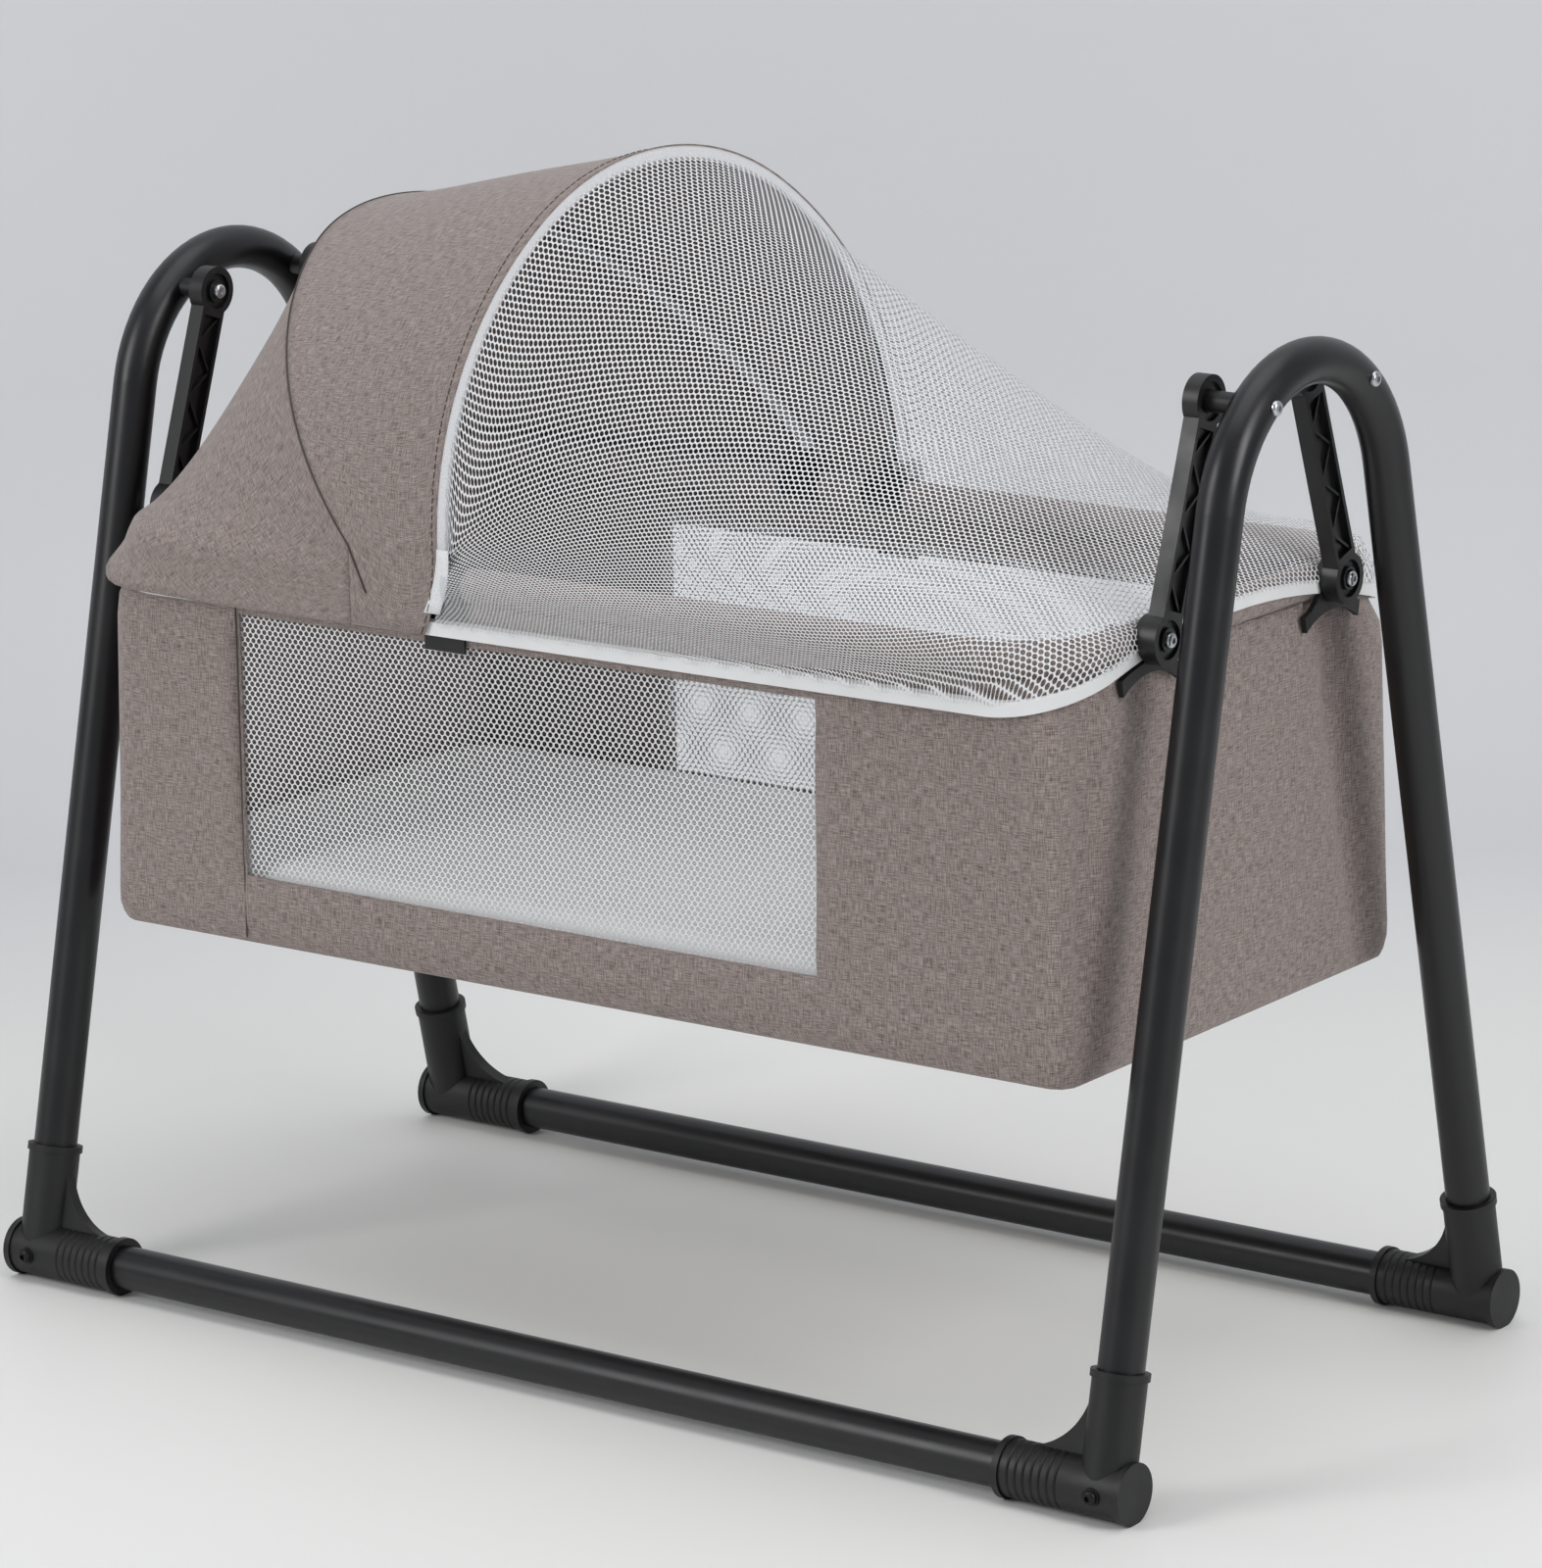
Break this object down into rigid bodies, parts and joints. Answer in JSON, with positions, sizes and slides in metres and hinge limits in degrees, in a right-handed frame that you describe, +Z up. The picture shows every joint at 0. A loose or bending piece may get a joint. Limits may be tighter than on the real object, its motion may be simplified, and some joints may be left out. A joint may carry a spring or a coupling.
{
  "type": "bedside crib",
  "caption": "Bedside crib: fabric basket with mesh windows, folding hood and zip-on net, hung on swing arms in a black tubular stand.",
  "frame": {"origin": "floor level under the centre of the stand", "axes": "+X along the crib to the foot end, -Y to the side near the camera, +Z up"},
  "size_m": [0.982, 0.5376, 0.8428],
  "materials": {
    "stand_paint": "satin black paint",
    "black_plastic": "fine satin",
    "bright_steel": "bright zinc",
    "melange_fabric": "woven melange",
    "grey_net": "knitted net",
    "white_fabric": "plain weave",
    "white_plastic": "smooth",
    "board": "plain",
    "bow_wire": "drawn wire"
  },
  "bodies": {
    "stand": {"head_hoop": "stand_paint", "foot_hoop": "stand_paint", "near_rail": "stand_paint", "far_rail": "stand_paint", "head_near_elbow": "black_plastic", "head_far_elbow": "black_plastic", "foot_near_elbow": "black_plastic", "foot_far_elbow": "black_plastic", "elbow_screws": "bright_steel", "arm_spacers": "black_plastic", "upper_sleeves": "bright_steel", "upper_bolts": "bright_steel", "upper_nuts": "bright_steel"},
    "foot_near_arm": {"foot_near_arm": "black_plastic"},
    "foot_far_arm": {"foot_far_arm": "black_plastic"},
    "head_near_arm": {"head_near_arm": "black_plastic"},
    "head_far_arm": {"head_far_arm": "black_plastic"},
    "basket": {"lower_sleeves": "bright_steel", "lower_bolts": "bright_steel", "lower_nuts": "bright_steel", "head_near_bracket": "black_plastic", "head_far_bracket": "black_plastic", "foot_near_bracket": "black_plastic", "foot_far_bracket": "black_plastic", "rim_tube": "stand_paint", "basket_cover": "melange_fabric", "near_window_net": "grey_net", "far_window_net": "grey_net", "base_board": "board", "mattress": "white_fabric", "near_front_clip": "black_plastic", "far_front_clip": "black_plastic", "near_rear_clip": "black_plastic", "far_rear_clip": "black_plastic", "canopy_fabric": "melange_fabric", "zip_net": "grey_net", "zip_band": "white_fabric", "zip_slider": "white_plastic"},
    "front_bow": {"front_bow": "bow_wire"},
    "mid_bow": {"mid_bow": "bow_wire"}
  },
  "joints": [
    {"name": "foot_near_swing", "type": "hinge", "parent": "stand", "child": "foot_near_arm", "pos_m": [0.43, -0.06285, 0.7169], "axis": [1, 0, 0], "range_deg": [-10, 10]},
    {"name": "foot_far_swing", "type": "hinge", "parent": "stand", "child": "foot_far_arm", "pos_m": [0.43, 0.06285, 0.7169], "axis": [1, 0, 0], "range_deg": [-10, 10]},
    {"name": "head_near_swing", "type": "hinge", "parent": "stand", "child": "head_near_arm", "pos_m": [-0.43, -0.06285, 0.7169], "axis": [1, 0, 0], "range_deg": [-10, 10]},
    {"name": "head_far_swing", "type": "hinge", "parent": "stand", "child": "head_far_arm", "pos_m": [-0.43, 0.06285, 0.7169], "axis": [1, 0, 0], "range_deg": [-10, 10]},
    {"name": "basket_hang", "type": "hinge", "parent": "foot_near_arm", "child": "basket", "pos_m": [0.43, -0.115, 0.5656], "axis": [1, 0, 0], "range_deg": [-5.6, 5.6]},
    {"name": "hood_fold", "type": "hinge", "parent": "basket", "child": "front_bow", "pos_m": [-0.0535, 0, 0.582], "axis": [0.1957, 0.9807, 0], "range_deg": [-60, 0], "deforming": ["canopy_fabric", "zip_net"]},
    {"name": "hood_mid_fold", "type": "hinge", "parent": "basket", "child": "mid_bow", "pos_m": [-0.1285, 0, 0.582], "axis": [0.1957, 0.9807, 0], "range_deg": [-26, 0]}
  ],
  "couplings": [
    {"joint": "foot_far_swing", "follows": "foot_near_swing", "ratio": 1},
    {"joint": "head_near_swing", "follows": "foot_near_swing", "ratio": 1},
    {"joint": "head_far_swing", "follows": "foot_near_swing", "ratio": 1},
    {"joint": "basket_hang", "follows": "foot_near_swing", "ratio": -0.5466},
    {"joint": "hood_mid_fold", "follows": "hood_fold", "ratio": 0.42}
  ]
}
